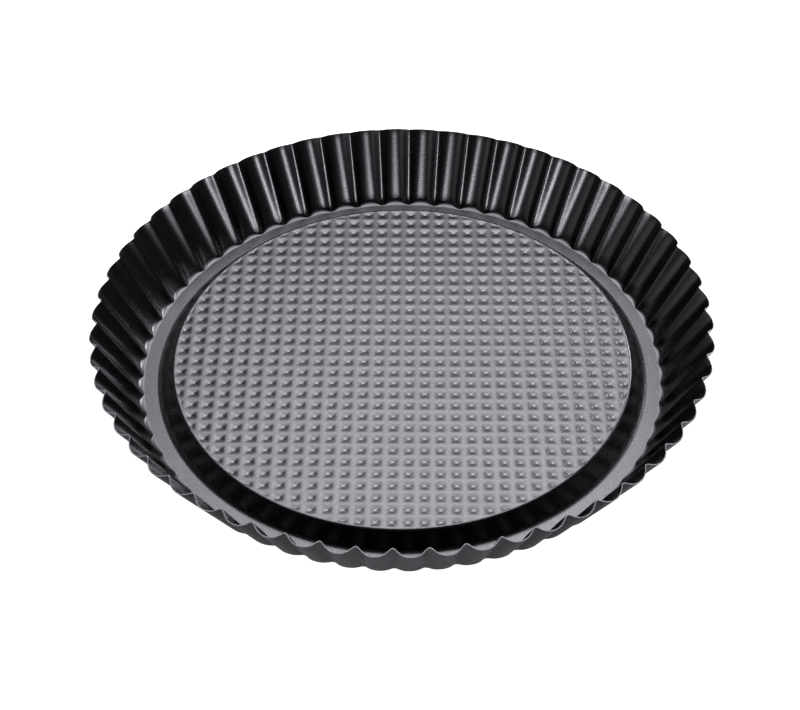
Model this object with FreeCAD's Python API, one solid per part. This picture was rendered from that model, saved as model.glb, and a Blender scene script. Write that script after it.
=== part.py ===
"""Fluted tart pan with a raised, waffle-embossed centre.

The pan is one pressing of thin steel sheet. It is drawn as the four zones of that pressing, each a solid
of its own, which meet face to face across the sheet. Lengths are in millimetres and angles in degrees.
The pan stands on Z = 0, its axis is Z, and its origin is the middle of its underside.
"""
import FreeCAD, Part
import math
import os

# Sheet
sheet = 0.5                  # thickness of the steel

# Raised centre
centre_radius = 105.4        # where the line of the top and the line of the riser meet
centre_height = 8.4          # top of the raised centre above the channel floor
riser_run = 6.2              # how far out the riser reaches on its way down
shoulder_bend = 1.2          # bend at the riser's top, on the upper face; more than the sheet
riser_foot_bend = 3.5        # bend at the riser's foot, on the upper face

# Waffle pattern pressed into the raised centre
waffle_pitch = 7.0           # from one cell to the next, both ways
waffle_land = 1.4            # flat bar left between two cells
waffle_depth = 0.55          # depth of each sunk pyramid

# Channel round the raised centre
channel_width = 5.8          # flat part of the channel floor

# Fluted wall, all on its inner face
flute_count = 58
first_ridge_angle = 89.0     # direction of one inward ridge, counter-clockwise from +X
wall_height = 31.9           # channel floor to the trimmed edge, along a flute
wall_flare = 19.4            # how much wider the edge is than the foot, along a flute
ridge_reach = 0.35           # flat floor's edge to the foot of a ridge
ridge_rise = 2.0             # how much higher than a flute a ridge ends at the trimmed edge
foot_flute_depth = 2.0       # flute to ridge at the foot
rim_flute_depth = 3.1        # flute to ridge at the trimmed edge
foot_flute_round = 13.0      # radius of the outward round of a flute at the foot
rim_flute_round = 11.0       # the same at the trimmed edge
foot_ridge_round = 2.5       # radius of an inward ridge at the foot; more than the sheet
rim_ridge_round = 1.3        # the same at the trimmed edge

# Sizes that follow from the ones above
riser_slope = math.atan2(centre_height, riser_run)
miter = math.tan(riser_slope / 2)
plateau_radius = centre_radius - shoulder_bend * miter
channel_inner_radius = centre_radius + riser_run + riser_foot_bend * miter
channel_outer_radius = channel_inner_radius + channel_width
foot_radius = channel_outer_radius + ridge_reach + foot_flute_depth
rim_radius = foot_radius + wall_flare
half_flute = math.pi / flute_count
half_cell = (waffle_pitch - waffle_land) / 2

Z_AXIS = FreeCAD.Vector(0, 0, 1)
ORIGIN = FreeCAD.Vector(0, 0, 0)


def at(x, z):
    """A point in the upright half plane through +X."""
    return FreeCAD.Vector(x, 0, z)


def solid_from(faces):
    """One closed solid, sewn from the faces that bound it."""
    skin = Part.Compound(faces)
    skin.sewShape()
    solid = Part.Solid(Part.Shell(skin.Faces))
    if solid.Volume < 0:
        solid.reverse()
    return solid


# ---------------------------------------------------------------- raised centre and channel

def riser_skin(below):
    """The riser's outline on the face that lies `below` its upper face, from the plateau to the channel."""
    along = FreeCAD.Vector(math.cos(riser_slope), 0, -math.sin(riser_slope))
    shoulder = at(centre_radius - below * miter, sheet + centre_height - below)
    foot = at(centre_radius + riser_run - below * miter, sheet - below)
    shoulder_radius = shoulder_bend - below
    foot_bend_radius = riser_foot_bend + below
    half_turn = at(math.sin(riser_slope / 2), math.cos(riser_slope / 2))

    plateau_end = at(plateau_radius, shoulder.z)
    slope_top = shoulder + along * (shoulder_radius * miter)
    slope_foot = foot - along * (foot_bend_radius * miter)
    channel_end = at(channel_inner_radius, foot.z)
    shoulder_middle = plateau_end - Z_AXIS * shoulder_radius + half_turn * shoulder_radius
    foot_middle = channel_end + Z_AXIS * foot_bend_radius - half_turn * foot_bend_radius
    edges = [
        Part.Arc(plateau_end, shoulder_middle, slope_top).toShape(),
        Part.makeLine(slope_top, slope_foot),
        Part.Arc(slope_foot, foot_middle, channel_end).toShape(),
    ]
    return edges, plateau_end, channel_end


def centre_riser():
    """Sloped step round the raised centre, with a small bend at its top and a soft one at its foot."""
    upper, upper_plateau_end, upper_channel_end = riser_skin(0)
    lower, lower_plateau_end, lower_channel_end = riser_skin(sheet)
    plateau_cut = Part.makeLine(lower_plateau_end, upper_plateau_end)
    channel_cut = Part.makeLine(upper_channel_end, lower_channel_end)
    outline = Part.Wire(Part.__sortEdges__(upper + [channel_cut] + lower + [plateau_cut]))
    return Part.Face(outline).revolve(ORIGIN, Z_AXIS, 360)


def channel_floor():
    """Flat ring between the riser and the fluted wall: what the pan stands on."""
    disc = Part.makeCylinder(channel_outer_radius, sheet)
    return disc.cut(Part.makeCylinder(channel_inner_radius, sheet)).Solids[0]


def waffle_cells():
    """Middles of the cells that lie whole inside the plateau. Four cells meet at its centre."""
    reach = math.ceil(plateau_radius / waffle_pitch)
    middles = [(step + 0.5) * waffle_pitch for step in range(-reach, reach)]
    return [
        (x, y) for x in middles for y in middles
        if math.hypot(abs(x) + half_cell, abs(y) + half_cell) < plateau_radius
    ]


def waffled_face(z):
    """Level face of the plateau at height z, with a four-sided pyramid sunk in each cell."""
    openings = []
    facets = []
    for x, y in waffle_cells():
        corners = [
            FreeCAD.Vector(x + side_x * half_cell, y + side_y * half_cell, z)
            for side_x, side_y in ((-1, -1), (-1, 1), (1, 1), (1, -1))
        ]
        tip = FreeCAD.Vector(x, y, z - waffle_depth)
        openings.append(Part.makePolygon(corners + corners[:1]))
        for start, end in zip(corners, corners[1:] + corners[:1]):
            facets.append(Part.Face(Part.makePolygon([start, end, tip, start])))
    edge = Part.Wire(Part.makeCircle(plateau_radius, FreeCAD.Vector(0, 0, z), Z_AXIS))
    land = Part.Face([edge] + openings)
    return [land] + facets


def waffle_plateau():
    """Raised centre of the pan: the sheet follows the pyramids on its upper and its lower face."""
    top = sheet + centre_height
    underside = top - sheet
    edge = Part.makeCircle(plateau_radius, FreeCAD.Vector(0, 0, underside), Z_AXIS)
    side = edge.extrude(Z_AXIS * sheet)
    return solid_from(waffled_face(top) + waffled_face(underside) + [side])


# ---------------------------------------------------------------- fluted wall

def handle(flute_depth, radius):
    """Length of a cubic curve's end handle that gives its end this radius, across one flute's depth."""
    return math.sqrt(2 / 3 * flute_depth * radius)


def half_flute_row(flute_point, ridge_point, flute_handle, ridge_handle):
    """Four poles of the cubic curve across half a flute.

    It leaves the flute's middle line, on +X, and reaches the ridge, half a flute round from there,
    square to the radius at both ends.
    """
    toward_ridge = FreeCAD.Vector(math.cos(half_flute), math.sin(half_flute), 0)
    along_ridge = FreeCAD.Vector(-math.sin(half_flute), math.cos(half_flute), 0)
    flute_end = at(flute_point.x, flute_point.z)
    ridge_end = toward_ridge * ridge_point.x + Z_AXIS * ridge_point.z
    return [
        flute_end,
        flute_end + FreeCAD.Vector(0, flute_handle, 0),
        ridge_end - along_ridge * ridge_handle,
        ridge_end,
    ]


def wall_line(corner_radius, edge_radius, edge_height, outward):
    """One upright line of the wall, on the face `outward` of its inner face.

    The line starts on the flat floor, bends up and runs straight to the trimmed edge. It is given by
    five points: the bend's four cubic poles, the last of which is where the wall is straight, and the edge.
    """
    lean = math.atan2(edge_radius - corner_radius, edge_height)
    up_the_wall = at(math.sin(lean), math.cos(lean))
    square_to_wall = at(math.cos(lean), -math.sin(lean))
    turn = math.pi / 2 - lean
    corner = at(corner_radius + outward * math.tan(turn / 2), sheet - outward)
    bend_start = at(channel_outer_radius, sheet - outward)
    tangent_length = corner.x - bend_start.x
    bend_radius = tangent_length / math.tan(turn / 2)
    bend_handle = 4 / 3 * math.tan(turn / 4) * bend_radius
    bend_end = corner + up_the_wall * tangent_length
    edge = at(edge_radius, sheet + edge_height) + square_to_wall * outward
    return [
        bend_start,
        bend_start + at(bend_handle, 0),
        bend_end - up_the_wall * bend_handle,
        bend_end,
        edge,
    ]


def wall_rows(outward):
    """Rows of poles of half a flute, from the floor up to the trimmed edge, on the face `outward`."""
    flute_line = wall_line(foot_radius, rim_radius, wall_height, outward)
    ridge_line = wall_line(
        foot_radius - foot_flute_depth, rim_radius - rim_flute_depth, wall_height + ridge_rise, outward)
    floor_handle = 4 / 3 * math.tan(half_flute / 4) * channel_outer_radius
    foot_flute = handle(foot_flute_depth, foot_flute_round + outward)
    foot_ridge = handle(foot_flute_depth, foot_ridge_round - outward)
    rim_flute = handle(rim_flute_depth, rim_flute_round + outward)
    rim_ridge = handle(rim_flute_depth, rim_ridge_round - outward)
    handles = [
        (floor_handle, floor_handle),
        (floor_handle, floor_handle),
        (foot_flute, foot_ridge),
        (foot_flute, foot_ridge),
        (rim_flute, rim_ridge),
    ]
    return [
        half_flute_row(flute_point, ridge_point, flute_handle, ridge_handle)
        for flute_point, ridge_point, (flute_handle, ridge_handle) in zip(flute_line, ridge_line, handles)
    ]


def patch(rows):
    """Bezier face through its rows of poles."""
    surface = Part.BezierSurface()
    surface.increase(len(rows) - 1, len(rows[0]) - 1)
    for row_number, row in enumerate(rows, 1):
        for pole_number, pole in enumerate(row, 1):
            surface.setPole(row_number, pole_number, pole)
    return surface.toShape()


def half_flute_faces():
    """The faces of half a flute: bend and wall on both sides of the sheet, trimmed edge and floor cut."""
    inner = wall_rows(0)
    outer = wall_rows(sheet)
    bend = slice(0, 4)
    straight = slice(3, 5)
    return [
        patch(inner[bend]),
        patch(inner[straight]),
        patch([inner[-1], outer[-1]]),
        patch(outer[straight]),
        patch(outer[bend]),
        patch([inner[0], outer[0]]),
    ]


def fluted_wall():
    """Flared wall: each flute is a half and its mirror image, repeated all the way round."""
    half = Part.Compound(half_flute_faces())
    other_half = half.mirror(ORIGIN, FreeCAD.Vector(0, 1, 0))
    flute_turn = 360 / flute_count
    faces = []
    for number in range(flute_count):
        turn = first_ridge_angle + (number + 0.5) * flute_turn
        for side in (half, other_half):
            placed = side.copy()
            placed.rotate(ORIGIN, Z_AXIS, turn)
            faces.extend(placed.Faces)
    return solid_from(faces)


os.makedirs("parts", exist_ok=True)
zones = {
    "fluted_wall": fluted_wall(),
    "channel_floor": channel_floor(),
    "centre_riser": centre_riser(),
    "waffle_plateau": waffle_plateau(),
}
for name, shape in zones.items():
    shape.exportStep("parts/" + name + ".step")
    print(name, shape.ShapeType, shape.isValid(), round(shape.Volume, 1))
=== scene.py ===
"""Looks of a fluted tart pan: the pressed sheet in its four zones, the satin coating and a plain studio."""

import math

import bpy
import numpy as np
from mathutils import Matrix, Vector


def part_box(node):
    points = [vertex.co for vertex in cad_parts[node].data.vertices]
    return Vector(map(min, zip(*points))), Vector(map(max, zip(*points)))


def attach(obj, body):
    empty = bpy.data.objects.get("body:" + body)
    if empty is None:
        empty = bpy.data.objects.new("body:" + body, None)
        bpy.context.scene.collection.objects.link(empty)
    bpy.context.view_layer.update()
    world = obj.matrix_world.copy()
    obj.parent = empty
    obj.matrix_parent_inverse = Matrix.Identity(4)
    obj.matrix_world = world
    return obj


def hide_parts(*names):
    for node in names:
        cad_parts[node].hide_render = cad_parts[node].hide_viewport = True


bl_info = {
    "name": "Fluted Tart Pan",
    "version": (1, 0, 0),
    "blender": (4, 5, 0),
    "location": "3D View > Sidebar > Tart Pan",
    "description": "Builds the pressed sheet, the coating and the studio of a fluted tart pan",
    "category": "Object",
}

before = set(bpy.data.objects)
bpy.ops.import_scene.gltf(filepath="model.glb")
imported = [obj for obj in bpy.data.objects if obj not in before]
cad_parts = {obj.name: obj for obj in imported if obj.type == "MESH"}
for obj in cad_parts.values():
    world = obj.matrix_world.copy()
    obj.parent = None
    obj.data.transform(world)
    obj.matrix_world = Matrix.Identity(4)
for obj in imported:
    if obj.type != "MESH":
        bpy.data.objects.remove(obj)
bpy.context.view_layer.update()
BODY = "root"
HARD_CORNER = math.radians(50)


def outer_radius(node):
    """Largest radius of a CAD node about the pan's axis, from its box."""
    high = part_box(node)[1]
    return max(high.x, high.y)


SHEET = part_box("channel_floor")[1].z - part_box("channel_floor")[0].z
PLATEAU_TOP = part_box("waffle_plateau")[1].z
PLATEAU_RADIUS = outer_radius("waffle_plateau")
RISER_RADIUS = outer_radius("centre_riser")
CHANNEL_RADIUS = outer_radius("channel_floor")


# ---------------------------------------------------------------- settings

def length(name, description, default):
    """A length in metres that a user can change."""
    return bpy.props.FloatProperty(
        name=name, description=description, default=default, min=0, precision=5, unit="LENGTH")


def angle(name, description, degrees):
    """An angle that a user can change, given in degrees."""
    return bpy.props.FloatProperty(
        name=name, description=description, default=math.radians(degrees), subtype="ANGLE", unit="ROTATION")


def colour(name, description, default):
    """A colour that a user can change."""
    return bpy.props.FloatVectorProperty(
        name=name, description=description, default=default, size=3, min=0, max=1, subtype="COLOR")


class WallSettings(bpy.types.PropertyGroup):
    """Sizes of the fluted wall, all on its inner face."""

    flute_count: bpy.props.IntProperty(
        name="Flutes", description="Number of outward flutes round the wall", default=58, min=3)
    first_ridge: angle("First ridge", "Direction of one inward ridge from +X", 89.0)
    height: length("Height", "Channel floor to the trimmed edge, along a flute", 0.0319)
    rim_radius: length("Edge radius", "Radius of the pan at the trimmed edge, in a flute", 0.14095)
    ridge_reach: length("Ridge reach", "Flat floor's edge to the foot of a ridge", 0.00035)
    ridge_rise: length("Ridge rise", "How much higher than a flute a ridge ends", 0.002)
    foot_depth: length("Flute depth at the foot", "From flute to ridge at the foot", 0.002)
    rim_depth: length("Flute depth at the edge", "From flute to ridge at the trimmed edge", 0.0031)
    foot_flute_round: length("Flute round at the foot", "Radius of a flute at the foot", 0.013)
    rim_flute_round: length("Flute round at the edge", "Radius of a flute at the trimmed edge", 0.011)
    foot_ridge_round: length("Ridge round at the foot", "Radius of an inward ridge at the foot", 0.0025)
    rim_ridge_round: length("Ridge round at the edge", "Radius of an inward ridge at the edge", 0.0013)
    edge_round: length("Edge round", "Radius left on the trimmed edge", 0.00012)
    press_ripple: length("Press ripple", "Unevenness that pressing leaves in the wall", 0.00004)


class CentreSettings(bpy.types.PropertyGroup):
    """Sizes of the riser and of the embossed centre."""

    shoulder_bend: length("Shoulder bend", "Radius at the riser's top, on the upper face", 0.0018)
    foot_bend: length("Foot bend", "Radius at the riser's foot, on the upper face", 0.0035)
    pitch: length("Waffle pitch", "From one cell to the next", 0.007)
    land: length("Land", "Width of the bar between two cells, at half its round", 0.00195)
    depth: length("Depth", "Depth of each sunk pyramid, before its tip is rounded off", 0.00053)
    land_round: bpy.props.FloatProperty(
        name="Land round", description="Share of a pyramid's half side over which the bar rounds into it",
        default=0.33, min=0.01, max=1, subtype="FACTOR")
    tip: bpy.props.FloatProperty(
        name="Tip", description="Share of the way from a cell's middle to its border that is rounded off",
        default=0.3, min=0.01, max=1, subtype="FACTOR")
    crease: bpy.props.FloatProperty(
        name="Crease", description="Sharpness of the creases between a pyramid's four faces",
        default=6, min=2, max=40)


class CoatingSettings(bpy.types.PropertyGroup):
    """Finish of the non-stick coating and of the cut edge, whose lighter colour also paints a highlight line
    along the edge.
    """

    coat: colour("Coat", "Colour of the coating", (0.0006, 0.0006, 0.0007))
    coat_worn: colour("Coat, thin", "Colour where the coating is a little thinner", (0.001, 0.001, 0.0012))
    # The cut edge's colour: partly its uncoated metal, partly a painted highlight line along the trimmed
    # edge.
    edge_steel_and_highlight: colour("Steel", "Colour of the steel that shows through at the cut edge", (0.22, 0.22, 0.22))
    roughness: bpy.props.FloatProperty(
        name="Roughness", description="Mean roughness of the coating", default=0.3, min=0, max=1,
        subtype="FACTOR")
    grain: length("Grain", "Height of the coating's fine grain", 0.000008)


class StudioSettings(bpy.types.PropertyGroup):
    """Camera, floor and lamps."""

    distance: length("Distance", "Camera to the middle of the raised centre", 0.9323)
    elevation: angle("Elevation", "Camera above the horizon", 43.94)
    turn: angle("Turn", "Camera round the pan, from -Y towards +X", 0.8)
    roll: angle("Roll", "Turn of the camera about its own line of sight", -0.36)
    lens: bpy.props.FloatProperty(
        name="Lens", description="Focal length in millimetres, on a 36 mm wide sensor", default=90.83, min=1)
    aim_right: length("Aim right", "How far the middle of the pan stands right of the frame's middle", 0.0009)
    aim_down: length("Aim down", "How far the middle of the pan stands below the frame's middle", 0.0007)
    floor: colour("Floor", "Colour of the floor", (0.6, 0.6, 0.6))
    floor_glow: bpy.props.FloatProperty(
        name="Floor glow", description="Light that comes up through the floor", default=0.9, min=0)
    black_point: bpy.props.FloatProperty(
        name="Black point", description="Brightness that is shown as black", default=0.002, min=0, max=0.2)
    surroundings: colour("Surroundings", "Colour of the room far away", (0.12, 0.12, 0.13))


# ---------------------------------------------------------------- surfaces

def weights(degree, at):
    """Bernstein weights of a Bezier curve's poles: choose(n, k) t^k (1 - t)^(n - k), one row for each t."""
    poles = range(degree + 1)
    columns = [math.comb(degree, pole) * at ** pole * (1 - at) ** (degree - pole) for pole in poles]
    return np.stack(columns, -1)


def polar(radius, height):
    """A point of the upright half plane through +X."""
    return np.array([radius, 0.0, height])


def mesh_object(name, points, quads):
    """A smooth mesh from an array of points and an array of four-sided faces, with its hard corners kept."""
    mesh = bpy.data.meshes.new(name)
    mesh.vertices.add(len(points))
    mesh.vertices.foreach_set("co", points.astype(np.float32).ravel())
    mesh.loops.add(quads.size)
    mesh.loops.foreach_set("vertex_index", quads.astype(np.int32).ravel())
    mesh.polygons.add(len(quads))
    mesh.polygons.foreach_set("loop_start", np.arange(0, quads.size, quads.shape[1], dtype=np.int32))
    mesh.update(calc_edges=True)
    mesh.shade_smooth()
    mesh.set_sharp_from_angle(angle=HARD_CORNER)
    made = bpy.data.objects.new(name, mesh)
    bpy.context.scene.collection.objects.link(made)
    return made


def ring_quads(rows, columns):
    """Faces of a grid that closes on itself both ways: up the rows first, then round the columns."""
    row, column = np.meshgrid(np.arange(rows), np.arange(columns), indexing="ij")
    next_row = (row + 1) % rows
    next_column = (column + 1) % columns
    corners = [(row, column), (next_row, column), (next_row, next_column), (row, next_column)]
    return np.stack([r * columns + c for r, c in corners], -1).reshape(-1, 4)


def ring_object(name, points):
    """A closed ring: points[row, column] goes clockwise round the section and turns about the pan's axis."""
    rows, columns = points.shape[:2]
    return mesh_object(name, points.reshape(-1, 3), ring_quads(rows, columns))


def revolve(section, columns):
    """A section of radii and heights carried round the axis: (r cos a, r sin a, z) for each angle a."""
    turn = np.arange(columns) * (2 * math.pi / columns)
    radius = section[:, 0, None]
    height = np.broadcast_to(section[:, 1, None], (len(section), columns))
    return np.stack([radius * np.cos(turn), radius * np.sin(turn), height], -1)


def arc(centre, radius, start, end, count):
    """Points of a circular arc: centre + radius (cos a, sin a), for `count` angles from start to end."""
    turn = np.linspace(start, end, count)
    return np.stack([centre[0] + radius * np.cos(turn), centre[1] + radius * np.sin(turn)], -1)


def add_attribute(made, name, values):
    """Gives each point of a mesh one number, for its material to read."""
    attribute = made.data.attributes.new(name, "FLOAT", "POINT")
    attribute.data.foreach_set("value", values.astype(np.float32).ravel())


# ---------------------------------------------------------------- fluted wall

FLUTE_STEPS = 12             # faces across half a flute
BEND_STEPS = 10              # faces up the bend at the wall's foot
WALL_STEPS = 12              # faces up the straight wall
EDGE_STEPS = 4               # faces round each corner of the trimmed edge
EDGE_COATED = 2              # rows at each side of the trimmed edge that keep their coating
RIPPLE_WAVES = (             # waves round the pan, turn of their phase up the wall, phase at its foot
    (23, 9, 0),
    (41, -17, 1.3),
    (87, 31, 0.4),
    (131, -23, 2.1),
)


def wall_line(corner_radius, edge_radius, edge_height, outward):
    """Five poles of one upright line of the wall, on the face `outward` of its inner face.

    The line leaves the flat floor, bends up in a cubic that stands for an arc tangent to the floor and to
    the wall, and runs straight from there to the trimmed edge.
    """
    lean = math.atan2(edge_radius - corner_radius, edge_height)
    up_the_wall = polar(math.sin(lean), math.cos(lean))
    square_to_wall = polar(math.cos(lean), -math.sin(lean))
    turn = math.pi / 2 - lean
    corner = polar(corner_radius + outward * math.tan(turn / 2), SHEET - outward)
    bend_start = polar(CHANNEL_RADIUS, SHEET - outward)
    tangent_length = corner[0] - bend_start[0]
    bend_handle = 4 / 3 * math.tan(turn / 4) * tangent_length / math.tan(turn / 2)
    bend_end = corner + up_the_wall * tangent_length
    edge = polar(edge_radius, SHEET + edge_height) + square_to_wall * outward
    return [
        bend_start, bend_start + polar(bend_handle, 0), bend_end - up_the_wall * bend_handle, bend_end, edge]


def handle(flute_depth, radius):
    """Length of a cubic curve's end handle that gives its end this radius, across one flute's depth."""
    return math.sqrt(2 / 3 * flute_depth * radius)


def half_flute_poles(wall, outward):
    """Poles of half a flute, five up the wall by four across it.

    Across, each row is a cubic that leaves the flute and reaches the ridge square to the radius, with end
    handles sqrt(2/3 depth radius), which give the round of the flute and of the ridge.
    """
    half = math.pi / wall.flute_count
    ridge_foot = CHANNEL_RADIUS + wall.ridge_reach
    ridge_rim = wall.rim_radius - wall.rim_depth
    flute_line = wall_line(ridge_foot + wall.foot_depth, wall.rim_radius, wall.height, outward)
    ridge_line = wall_line(ridge_foot, ridge_rim, wall.height + wall.ridge_rise, outward)
    toward_ridge = np.array([math.cos(half), math.sin(half), 0])
    along_ridge = np.array([-math.sin(half), math.cos(half), 0])
    floor_handle = 4 / 3 * math.tan(half / 4) * CHANNEL_RADIUS
    floor = (floor_handle, floor_handle)
    foot = (
        handle(wall.foot_depth, wall.foot_flute_round + outward),
        handle(wall.foot_depth, wall.foot_ridge_round - outward))
    rim = (
        handle(wall.rim_depth, wall.rim_flute_round + outward),
        handle(wall.rim_depth, wall.rim_ridge_round - outward))
    rows = []
    for flute, ridge, handles in zip(flute_line, ridge_line, [floor, floor, foot, foot, rim]):
        flute_handle, ridge_handle = handles
        flute_pole = flute + np.array([0, flute_handle, 0])
        ridge_end = toward_ridge * ridge[0] + polar(0, ridge[2])
        ridge_pole = ridge_end - along_ridge * ridge_handle
        rows.append([flute, flute_pole, ridge_pole, ridge_end])
    return np.array(rows)


def wall_skin(wall, outward):
    """One face of the wall: points[row, column] from the floor up, and from ridge to ridge across one flute.

    The point is the sum of the poles, weighted by the Bernstein polynomials of both parameters: cubic in
    the bend and straight above it, cubic across half a flute, and mirrored for the other half.
    """
    poles = half_flute_poles(wall, outward)
    across = weights(3, np.linspace(0, 1, FLUTE_STEPS + 1))
    bend = weights(3, np.linspace(0, 1, BEND_STEPS, endpoint=False))
    straight = weights(1, np.linspace(0, 1, WALL_STEPS + 1))
    half = np.concatenate([
        np.einsum("vr,uc,rcx->vux", bend, across, poles[:4]),
        np.einsum("vr,uc,rcx->vux", straight, across, poles[3:]),
    ])
    mirrored = half[:, :0:-1] * np.array([1, -1, 1])
    return np.concatenate([mirrored, half[:, :-1]], 1)


def rounded_edge(inner, outer, below, edge_round):
    """Rows over the trimmed edge: a quarter round on each of its two corners, of radius edge_round.

    Its points are corner + across r (1 - cos a) + down r (1 - sin a), and at the outer corner the same
    with across taken away. The points `below` are one row down the wall, so that `down` is the way back
    along the sheet.
    """
    across = outer - inner
    across /= np.linalg.norm(across, axis=-1, keepdims=True)
    down = below - inner
    down /= np.linalg.norm(down, axis=-1, keepdims=True)
    turn = np.linspace(0, math.pi / 2, EDGE_STEPS + 1)[:, None, None]
    in_from_face = edge_round * (1 - np.cos(turn))
    in_from_edge = edge_round * (1 - np.sin(turn))
    first = inner + across * in_from_face + down * in_from_edge
    second = (outer - across * in_from_face + down * in_from_edge)[::-1]
    return np.concatenate([first, second])


def turned(points, angles):
    """Copies of an array of points, turned about the pan's axis and joined round it.

    A copy's point is (x cos a - y sin a, x sin a + y cos a, z) for its angle a.
    """
    cosine = np.cos(angles)[:, None, None]
    sine = np.sin(angles)[:, None, None]
    x, y, z = np.moveaxis(points, -1, 0)[:, None]
    turned_x = x * cosine - y * sine
    turned_y = x * sine + y * cosine
    copies = np.stack([turned_x, turned_y, np.broadcast_to(z, turned_x.shape)], -1)
    return np.moveaxis(copies, 0, 1).reshape(points.shape[0], -1, 3)


def ripple(points, height):
    """Radial unevenness of the pressed wall: points pushed out by the mean of a few waves, times a height.

    A wave is sin(n a + m h + p), for the angle a round the pan and the share h of its height. The push
    grows with h, from nothing at the foot.
    """
    x, y, z = np.moveaxis(points, -1, 0)
    turn = np.arctan2(y, x)
    rise = (z - SHEET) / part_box("fluted_wall")[1].z
    waves = sum(np.sin(number * turn + twist * rise + phase) for number, twist, phase in RIPPLE_WAVES)
    push = height * waves / len(RIPPLE_WAVES) * np.clip(rise, 0, 1)
    outward = np.stack([np.cos(turn), np.sin(turn), np.zeros_like(turn)], -1)
    return points + outward * push[..., None]


def fluted_wall(wall):
    """The whole wall as one closed ring: up its inner face, over the trimmed edge and down its outer face."""
    inner = wall_skin(wall, 0)
    outer = wall_skin(wall, SHEET)
    edge = rounded_edge(inner[-1], outer[-1], inner[-2], wall.edge_round)
    section = np.concatenate([inner[:-1], edge, outer[-2::-1]])
    flute_turn = 2 * math.pi / wall.flute_count
    turns = wall.first_ridge + (np.arange(wall.flute_count) + 0.5) * flute_turn
    made = ring_object("fluted_wall_sheet", ripple(turned(section, turns), wall.press_ripple))
    # Rows over the trimmed edge, less those kept coated, get the lighter edge colour: partly uncoated metal,
    # partly a painted highlight line.
    edge_metal_and_highlight_rows = np.zeros(len(edge))
    edge_metal_and_highlight_rows[EDGE_COATED:-EDGE_COATED] = 1
    edge_metal_and_highlight = np.concatenate([np.zeros(len(inner) - 1), edge_metal_and_highlight_rows, np.zeros(len(outer) - 1)])
    columns = section.shape[1] * wall.flute_count
    add_attribute(made, "edge_metal_and_highlight_mask", np.repeat(edge_metal_and_highlight, columns))
    return made


# ---------------------------------------------------------------- channel, riser and plateau

RING_COLUMNS = 928           # faces round the channel and the riser
CHANNEL_STEPS = 5            # faces across the channel
SHOULDER_STEPS = 11          # faces down the bend at the riser's top
SLOPE_STEPS = 5              # faces down the riser's straight part
FOOT_STEPS = 13              # faces down the bend at the riser's foot
POOLED_SHARE = 0.25          # share of a pyramid's depth, at its tip, over which the coating pooled
TOLERANCE = 1e-6             # points of the plateau nearer than this count as one

# Grid lines from a cell's border to its middle, in pitches, and the signs of x and y in each quarter
HALF_CELL_LINES = (0, 0.05, 0.1, 0.15, 0.2, 0.26, 0.35, 0.43, 0.5)
QUARTERS = ((1, 1), (-1, 1), (-1, -1), (1, -1))


def channel_ring():
    """Flat ring of the channel: a rectangle of sheet carried round the axis."""
    radii = np.linspace(RISER_RADIUS, CHANNEL_RADIUS, CHANNEL_STEPS + 1)
    top = np.stack([radii, np.full_like(radii, SHEET)], -1)
    underside = np.stack([radii[::-1], np.zeros_like(radii)], -1)
    return ring_object("channel_sheet", revolve(np.concatenate([top, underside]), RING_COLUMNS))


def riser_face(centre, below):
    """Section of the riser on the face `below` its upper face: an arc, a straight slope and an arc.

    The slope is tangent to both arcs: its angle s below the level gives run sin s + drop cos s = the sum
    of their radii, where run and drop lead from the middle of the shoulder's arc to that of the foot's.
    """
    shoulder_middle = (PLATEAU_RADIUS, PLATEAU_TOP - centre.shoulder_bend)
    foot_middle = (RISER_RADIUS, SHEET + centre.foot_bend)
    run = foot_middle[0] - shoulder_middle[0]
    drop = foot_middle[1] - shoulder_middle[1]
    radii = centre.shoulder_bend + centre.foot_bend
    slope = math.atan2(run, drop) - math.acos(radii / math.hypot(run, drop))
    up, down = math.pi / 2, -math.pi / 2
    shoulder = arc(shoulder_middle, centre.shoulder_bend - below, up, up - slope, SHOULDER_STEPS + 1)
    foot = arc(foot_middle, centre.foot_bend + below, down - slope, down, FOOT_STEPS + 1)
    between = shoulder[-1] + np.linspace(0, 1, SLOPE_STEPS + 1)[1:-1, None] * (foot[0] - shoulder[-1])
    return np.concatenate([shoulder, between, foot])


def riser_ring(centre):
    """Sloped step round the raised centre: its upper face outward, then its underside back."""
    section = np.concatenate([riser_face(centre, 0), riser_face(centre, SHEET)[::-1]])
    return ring_object("riser_sheet", revolve(section, RING_COLUMNS))


def waffle_depth(x, y, centre):
    """Depth of the pressed pattern at a point of the plateau.

    Across a cell, m is 1 at its middle and 0 at the pyramid's border: 1 minus the p-norm of the two
    distances from its middle, as shares of half the pyramid's side. The depth is depth m, less
    depth (m - 1 + t)^2 / 2t over the tip's share t. Below the land's share r, m is (m + r)^2 / 4r, so
    that the bar rounds into the pyramid. The depth fades to nothing at the plateau's border, over half
    the land's width.
    """
    half = (centre.pitch - centre.land) / 2
    across = np.abs((x / centre.pitch) % 1 - 0.5) * centre.pitch / half
    along = np.abs((y / centre.pitch) % 1 - 0.5) * centre.pitch / half
    nearness = 1 - (across ** centre.crease + along ** centre.crease) ** (1 / centre.crease)
    rounded = np.clip(nearness + centre.land_round, 0, None) ** 2 / (4 * centre.land_round)
    nearness = np.where(nearness < centre.land_round, rounded, nearness)
    sunk = nearness - np.maximum(nearness - 1 + centre.tip, 0) ** 2 / (2 * centre.tip)
    border = np.clip((PLATEAU_RADIUS - np.hypot(x, y)) / (centre.land * 0.5), 0, 1)
    return centre.depth * sunk * border * border * (3 - 2 * border)


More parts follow.
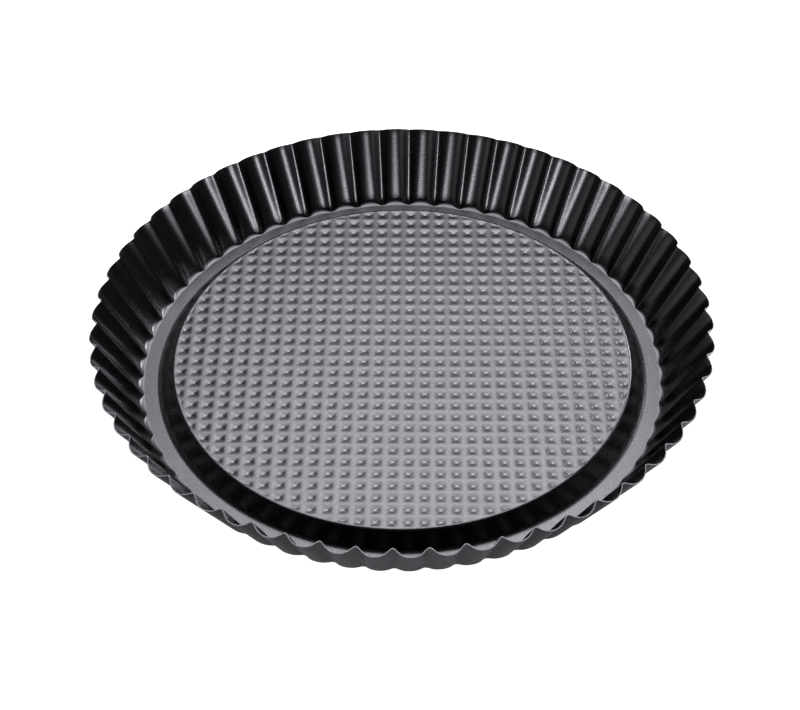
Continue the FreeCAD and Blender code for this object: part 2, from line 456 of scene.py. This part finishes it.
def disc_grid(lines):
    """Square grid cut to a quarter of the plateau's disc: x and y of its points, and its faces.

    The same lines run both ways. A face is kept if one of its corners is inside the disc. Corners outside
    are moved in along the radius to the border: (x, y) times radius / hypot(x, y).
    """
    x, y = np.meshgrid(lines, lines, indexing="ij")
    inside = np.hypot(x, y) < PLATEAU_RADIUS - TOLERANCE
    kept = inside[:-1, :-1] | inside[1:, :-1] | inside[1:, 1:] | inside[:-1, 1:]
    number = np.arange(x.size).reshape(x.shape)
    quads = np.stack([number[:-1, :-1], number[1:, :-1], number[1:, 1:], number[:-1, 1:]], -1)[kept]
    used, quads = np.unique(quads, return_inverse=True)
    x, y = x.ravel()[used], y.ravel()[used]
    shrink = np.minimum(1, PLATEAU_RADIUS / np.maximum(np.hypot(x, y), TOLERANCE))
    return x * shrink, y * shrink, quads.reshape(-1, 4)


def border_edges(quads):
    """Directed edges of an open mesh that only one face has."""
    edges = np.stack([quads, np.roll(quads, -1, 1)], -1).reshape(-1, 2)
    order = np.sort(edges, 1)
    _, first, count = np.unique(order, axis=0, return_index=True, return_counts=True)
    return edges[first[count == 1]]


def waffle_quarter(centre, side_x, side_y):
    """A quarter of the raised centre: the grid sunk by the pattern, and its underside one sheet lower.

    The signs of x and y say which quarter it is. The grid's lines lie closer where a cell bends.
    """
    half_cell = np.array(HALF_CELL_LINES)
    cell = np.concatenate([half_cell, 1 - half_cell[-2:0:-1]])
    cells = math.ceil(PLATEAU_RADIUS / centre.pitch)
    lines = np.append((np.arange(cells)[:, None] + cell).ravel(), cells) * centre.pitch
    x, y, quads = disc_grid(lines)
    x, y = x * side_x, y * side_y
    quads = quads[:, ::side_x * side_y]
    sunk = waffle_depth(x, y, centre)
    top = np.stack([x, y, PLATEAU_TOP - sunk], -1)
    underside = top - polar(0, SHEET)
    sides = border_edges(quads)
    wall = np.concatenate([sides[:, ::-1], sides + len(top)], 1)
    faces = np.concatenate([quads, quads[:, ::-1] + len(top), wall])
    depth_name = "back" if side_y > 0 else "front"
    side_name = "right" if side_x > 0 else "left"
    made = mesh_object(f"plateau_{depth_name}_{side_name}", np.concatenate([top, underside]), faces)
    tip_depth = centre.depth * (1 - centre.tip / 2)
    pooled = np.clip(1 - (1 - sunk / tip_depth) / POOLED_SHARE, 0, 1)
    add_attribute(made, "pooled", np.concatenate([pooled, np.zeros_like(pooled)]))
    return made


# ---------------------------------------------------------------- materials

CLOUD_SCALE = 60             # the coating's slow unevenness, in features to the metre
PEEL_SCALE = 1100            # its orange peel
GRAIN_SCALE = 2600           # its fine grain
PEEL_HEIGHT = 3              # height of the orange peel, in heights of the grain


class Value:
    """One output of a node. Arithmetic on it adds Math nodes to the same tree."""

    def __init__(self, graph, socket):
        self.graph = graph
        self.socket = socket

    def maths(self, operation, *values):
        """The result of a Math node on these values."""
        made = self.graph.node("ShaderNodeMath", {"operation": operation}, dict(enumerate(values)))
        return Value(self.graph, made.outputs[0])

    def __add__(self, other):
        return self.maths("ADD", self, other)

    def __mul__(self, other):
        return self.maths("MULTIPLY", self, other)

    def __sub__(self, other):
        return self.maths("SUBTRACT", self, other)

    def __rsub__(self, other):
        return self.maths("SUBTRACT", other, self)

    __radd__ = __add__
    __rmul__ = __mul__


class Graph:
    """Adds nodes to one material's node tree."""

    def __init__(self, name):
        self.material = bpy.data.materials.new(name)
        self.material.use_nodes = True
        self.tree = self.material.node_tree
        self.tree.nodes.clear()

    def node(self, kind, settings=None, inputs=None):
        """A node of this type. Its settings are set first, then its sockets get their values or links."""
        made = self.tree.nodes.new(kind)
        for key, value in (settings or {}).items():
            setattr(made, key, value)
        for key, value in (inputs or {}).items():
            if isinstance(value, Value):
                self.tree.links.new(value.socket, made.inputs[key])
            else:
                made.inputs[key].default_value = value
        return made

    def value(self, kind, settings=None, inputs=None, output=0):
        """The same, and the output wanted from it."""
        return Value(self, self.node(kind, settings, inputs).outputs[output])

    def noise(self, scale, detail):
        """Noise from 0 to 1 on the piece's own coordinates, `scale` features to the metre."""
        where = self.value("ShaderNodeTexCoord", output="Object")
        inputs = {"Vector": where, "Scale": scale, "Detail": detail, "Roughness": 0.5}
        return self.value("ShaderNodeTexNoise", {"noise_dimensions": "3D"}, inputs, "Fac")

    def mix_colour(self, factor, first, second):
        """A colour between two, by a factor from 0 to 1. Each is a Value or three numbers.

        The Mix node's colours are its inputs 6 and 7 and its output 2.
        """
        first, second = (end if isinstance(end, Value) else (*end, 1) for end in (first, second))
        return self.value("ShaderNodeMix", {"data_type": "RGBA"}, {0: factor, 6: first, 7: second}, 2)

    def finish(self, shader):
        """Makes a shader node the material's surface, and gives the material."""
        self.node("ShaderNodeOutputMaterial", inputs={"Surface": Value(self, shader.outputs[0])})
        return self.material


def coating(settings, name):
    """Satin non-stick coating: almost black, with a fine grain.

    It is smoother where it pooled before it dried. At the cut edge a lighter colour shows, partly its
    uncoated metal and partly a painted highlight line along the edge.
    """
    graph = Graph(name)
    cloud = graph.noise(CLOUD_SCALE, detail=3)
    grain = graph.noise(GRAIN_SCALE, detail=2)
    peel = graph.noise(PEEL_SCALE, detail=2)
    edge_metal_and_highlight = graph.value("ShaderNodeAttribute", {"attribute_name": "edge_metal_and_highlight_mask"}, output="Fac")
    pooled = graph.value("ShaderNodeAttribute", {"attribute_name": "pooled"}, output="Fac")
    coat = graph.mix_colour(cloud, settings.coat, settings.coat_worn)
    # At the cut edge the base colour turns to the lighter edge colour, which partly paints the edge's
    # highlight.
    base = graph.mix_colour(edge_metal_and_highlight, coat, settings.edge_steel_and_highlight)
    roughness = settings.roughness + (cloud - 0.5) * 0.06 + (peel - 0.5) * 0.16 + edge_metal_and_highlight * 0.25 - pooled * 0.1
    relief = grain + peel * PEEL_HEIGHT
    bump = graph.value("ShaderNodeBump", {}, {"Strength": 1.0, "Distance": settings.grain, "Height": relief})
    shader = graph.node("ShaderNodeBsdfPrincipled", {}, {
        "Base Color": base, "Metallic": edge_metal_and_highlight * 0.5, "Roughness": roughness, "Normal": bump, "IOR": 1.5,
        "Specular IOR Level": 0.5, "Coat Weight": pooled * 0.3, "Coat Roughness": 0.12, "Coat IOR": 1.5})
    return graph.finish(shader)


def plain_floor(settings):
    """Matt floor that is plain white to look at, and lights the pan from below like pale paper."""
    graph = Graph("pale_floor")
    matt = {"Base Color": (*settings.floor, 1), "Roughness": 0.9, "Specular IOR Level": 0.1}
    glow = {"Emission Color": (1, 1, 1, 1), "Emission Strength": settings.floor_glow}
    paper = graph.value("ShaderNodeBsdfPrincipled", {}, matt)
    white = graph.value("ShaderNodeBsdfPrincipled", {}, matt | glow)
    seen = graph.value("ShaderNodeLightPath", output="Is Camera Ray")
    return graph.finish(graph.node("ShaderNodeMixShader", {}, {0: seen, 1: paper, 2: white}))


# ---------------------------------------------------------------- operators

FLOOR_HALF = 4.0             # middle of the floor to its edge
FLOOR_DROP = 0.00005         # floor below the pan's underside, so that the two don't share a plane
SENSOR_WIDTH = 36            # of the camera, in millimetres
LAMP_COLOUR = (0.96, 0.945, 1.03)
LAMPS = (                    # name, place, point aimed at, width, depth, radiance
    ("main_softbox", (0, 0.475, 0.75), (0, 0.475, 0), 0.56, 0.88, 7.8),
    ("main_bulb", (0.06, 0.55, 0.74), (0.06, 0.55, 0), 0.3, 0.25, 6),
    ("back_card", (0, 2.2, 0.75), (0, 0, 0.1), 2.0, 0.9, 1.3),
    ("front_softbox", (0, -1.5, 0.47), (0, 0, 0.03), 0.6, 0.3, 35),
    ("right_back_softbox", (0.77, 1.02, 0.68), (0, 0, 0), 0.42, 0.4, 28),
    ("left_card", (-1.4, -0.5, 0.25), (0, 0, 0.05), 1.4, 0.5, 1.3),
)


def place(made, node, material):
    """Gives a piece its material, the pan's body and slot, and lets it stand for its CAD node."""
    made.data.materials.append(material)
    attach(made, BODY)
    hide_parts(node)


class TARTPAN_OT_wall(bpy.types.Operator):
    """Build the fluted wall"""

    bl_idname = "tartpan.wall"
    bl_label = "Fluted Wall"

    def execute(self, context):
        scene = context.scene
        coat = coating(scene.tartpan_coating, "wall_coating")
        place(fluted_wall(scene.tartpan_wall), "fluted_wall", coat)
        return {"FINISHED"}


class TARTPAN_OT_base(bpy.types.Operator):
    """Build the channel and the riser"""

    bl_idname = "tartpan.base"
    bl_label = "Channel and Riser"

    def execute(self, context):
        scene = context.scene
        coat = coating(scene.tartpan_coating, "base_coating")
        place(channel_ring(), "channel_floor", coat)
        place(riser_ring(scene.tartpan_centre), "centre_riser", coat)
        return {"FINISHED"}


class TARTPAN_OT_plateau(bpy.types.Operator):
    """Build the embossed centre"""

    bl_idname = "tartpan.plateau"
    bl_label = "Waffle Plateau"

    def execute(self, context):
        scene = context.scene
        coat = coating(scene.tartpan_coating, "plateau_coating")
        for side_x, side_y in QUARTERS:
            place(waffle_quarter(scene.tartpan_centre, side_x, side_y), "waffle_plateau", coat)
        return {"FINISHED"}


def lamp(name, place_at, aim_at, width, depth, radiance):
    """A rectangular softbox, as bright as `radiance` all over, that faces the point it is aimed at."""
    light = bpy.data.lights.new(name, "AREA")
    light.shape = "RECTANGLE"
    light.size = width
    light.size_y = depth
    light.energy = radiance * math.pi * width * depth
    light.color = LAMP_COLOUR
    made = bpy.data.objects.new(name, light)
    made.location = place_at
    direction = Vector(aim_at) - Vector(place_at)
    made.rotation_euler = direction.to_track_quat("-Z", "Y").to_euler()
    bpy.context.scene.collection.objects.link(made)


def camera(studio):
    """Camera at its distance and angles from the middle of the raised centre, moved by its two aims."""
    data = bpy.data.cameras.new("camera")
    data.lens = studio.lens
    data.sensor_width = SENSOR_WIDTH
    data.clip_end = 20
    turn, rise = studio.turn, studio.elevation
    forward = Vector((-math.sin(turn) * math.cos(rise), math.cos(turn) * math.cos(rise), -math.sin(rise)))
    right = forward.cross(Vector((0, 0, 1))).normalized()
    down = forward.cross(right)
    middle = Vector((0, 0, PLATEAU_TOP))
    place_at = middle - forward * studio.distance - right * studio.aim_right - down * studio.aim_down
    rolled_right = right * math.cos(studio.roll) - down * math.sin(studio.roll)
    rolled_down = right * math.sin(studio.roll) + down * math.cos(studio.roll)
    made = bpy.data.objects.new("camera", data)
    axes = Matrix((rolled_right, -rolled_down, -forward)).transposed().to_4x4()
    made.matrix_world = Matrix.Translation(place_at) @ axes
    bpy.context.scene.collection.objects.link(made)
    bpy.context.scene.camera = made


class TARTPAN_OT_studio(bpy.types.Operator):
    """Build the floor, the softboxes and the camera"""

    bl_idname = "tartpan.studio"
    bl_label = "Studio"

    def execute(self, context):
        scene = context.scene
        studio = scene.tartpan_studio
        half, low = FLOOR_HALF, -FLOOR_DROP
        corners = np.array([[-half, -half, low], [half, -half, low], [half, half, low], [-half, half, low]])
        floor = mesh_object("floor", corners, np.array([[0, 1, 2, 3]]))
        floor.data.materials.append(plain_floor(studio))
        for values in LAMPS:
            lamp(*values)
        world = bpy.data.worlds.new("surroundings")
        world.use_nodes = True
        world.node_tree.nodes["Background"].inputs["Color"].default_value = (*studio.surroundings, 1)
        scene.world = world
        scene.view_settings.view_transform = "Standard"
        scene.view_settings.use_curve_mapping = True
        scene.view_settings.curve_mapping.black_level = (studio.black_point,) * 3
        scene.view_settings.curve_mapping.update()
        camera(studio)
        return {"FINISHED"}


class TARTPAN_PT_panel(bpy.types.Panel):
    """Lists the pan's pieces and their sizes"""

    bl_label = "Fluted Tart Pan"
    bl_space_type = "VIEW_3D"
    bl_region_type = "UI"
    bl_category = "Tart Pan"

    def draw(self, context):
        for operator in OPERATORS:
            self.layout.operator(operator.bl_idname)
        for name in SETTINGS:
            group = getattr(context.scene, name)
            box = self.layout.box()
            for key in group.__annotations__:
                box.prop(group, key)


SETTINGS = {
    "tartpan_wall": WallSettings,
    "tartpan_centre": CentreSettings,
    "tartpan_coating": CoatingSettings,
    "tartpan_studio": StudioSettings,
}
OPERATORS = (TARTPAN_OT_studio, TARTPAN_OT_wall, TARTPAN_OT_base, TARTPAN_OT_plateau)
CLASSES = (*SETTINGS.values(), *OPERATORS, TARTPAN_PT_panel)


def register():
    """Registers the add-on's classes and gives each scene its settings."""
    for item in CLASSES:
        bpy.utils.register_class(item)
    for name, group in SETTINGS.items():
        setattr(bpy.types.Scene, name, bpy.props.PointerProperty(type=group))


def unregister():
    """Takes the settings and the classes away again."""
    for name in SETTINGS:
        delattr(bpy.types.Scene, name)
    for item in reversed(CLASSES):
        bpy.utils.unregister_class(item)


def main():
    """Builds everything in order."""
    register()
    bpy.ops.tartpan.studio()
    bpy.ops.tartpan.wall()
    bpy.ops.tartpan.base()
    bpy.ops.tartpan.plateau()


if __name__ == "__main__":
    main()
